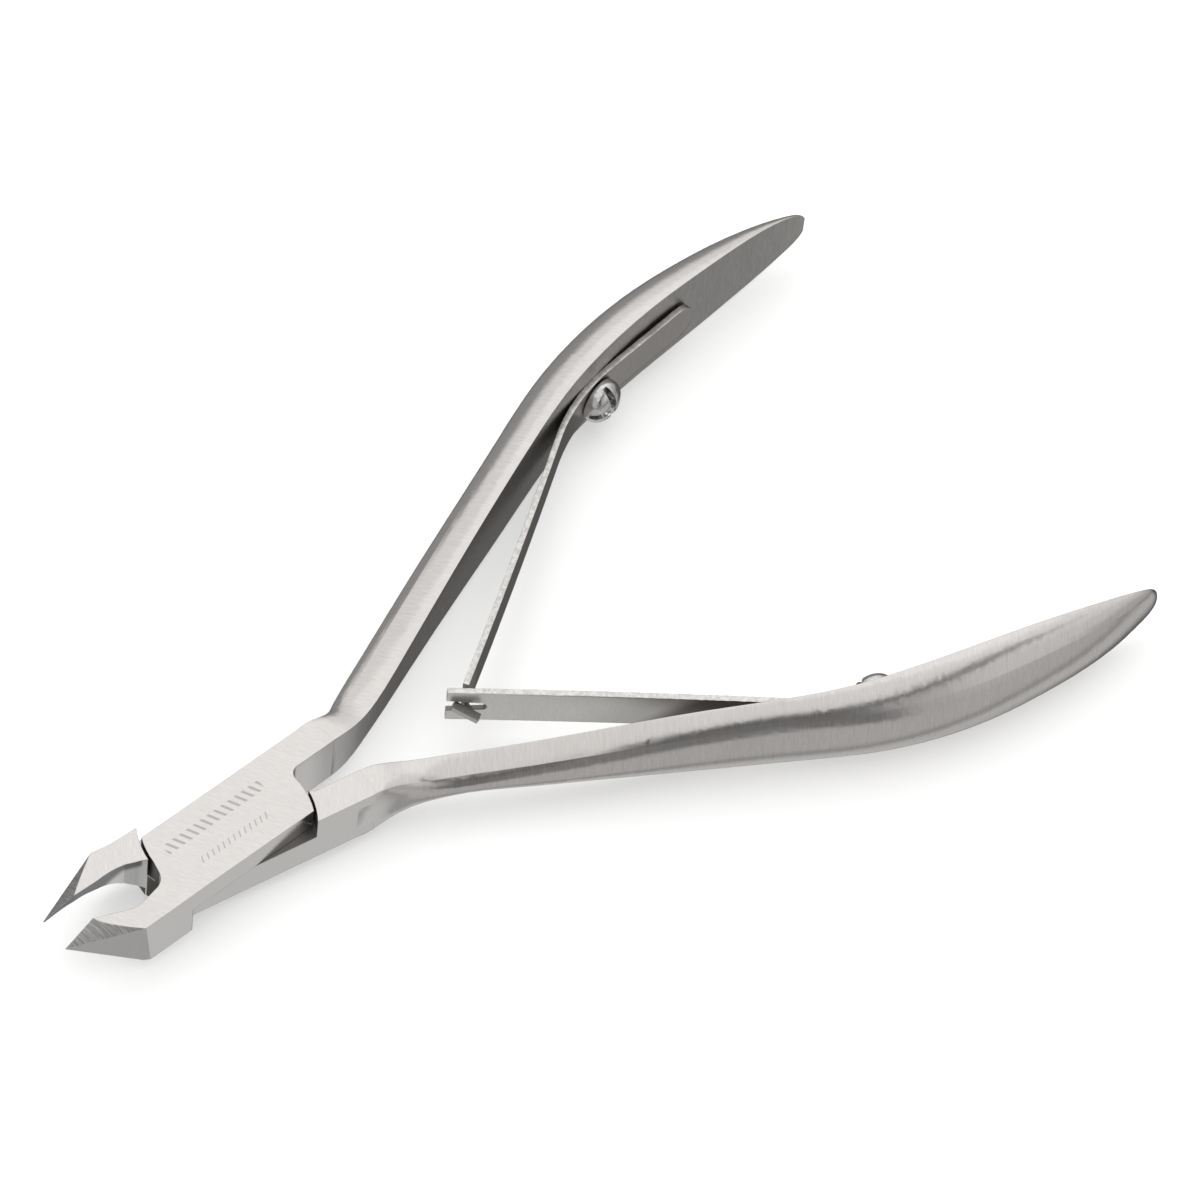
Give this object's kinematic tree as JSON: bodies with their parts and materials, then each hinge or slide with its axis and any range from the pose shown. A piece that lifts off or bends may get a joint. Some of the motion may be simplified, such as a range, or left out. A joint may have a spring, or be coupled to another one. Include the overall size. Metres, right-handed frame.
{
  "type": "cuticle nipper",
  "caption": "Hand nipper for trimming cuticles: lap-jointed forged halves with short cutting jaws, curved grips and interlocked leaf springs that hold them open.",
  "frame": {"origin": "on the pivot axis, at the flat underside of the lap joint", "axes": "+Z along the pivot axis, upwards; +X along the length, from the joint to the grips; the jaws point to -X"},
  "size_m": [0.102, 0.0552, 0.0093],
  "materials": {
    "left_steel": "satin, fine brushed",
    "right_steel": "satin, fine brushed",
    "rivet_steel": "ground flush",
    "spring_steel": "rolled strip with sheared edges",
    "screw_steel": "machined"
  },
  "bodies": {
    "left": {"left_half": "left_steel", "pivot_rivet": "rivet_steel", "left_leaf_root": "spring_steel", "left_spring_screw": "screw_steel"},
    "right": {"right_half": "right_steel", "right_leaf_root": "spring_steel", "right_spring_screw": "screw_steel"},
    "left_arm": {"left_leaf_arm": "spring_steel"},
    "right_arm": {"right_leaf_arm": "spring_steel"}
  },
  "joints": [
    {"name": "main_pivot", "type": "hinge", "parent": "left", "child": "right", "pos_m": [0, 0, 0], "axis": [0, 0, 1], "range_deg": [0, 10.1], "stiffness_Nm_per_rad": 1.2},
    {"name": "left_leaf_flex", "type": "hinge", "parent": "left", "child": "left_arm", "pos_m": [0.0487, 0.0173, 0.003], "axis": [0, 0, 1], "range_deg": [-5, 0]},
    {"name": "right_leaf_flex", "type": "hinge", "parent": "right", "child": "right_arm", "pos_m": [0.04861, -0.01756, 0.003], "axis": [0, 0, 1], "range_deg": [0, 5]}
  ],
  "couplings": [
    {"joint": "left_leaf_flex", "follows": "main_pivot", "ratio": -0.475},
    {"joint": "right_leaf_flex", "follows": "main_pivot", "ratio": 0.49}
  ]
}
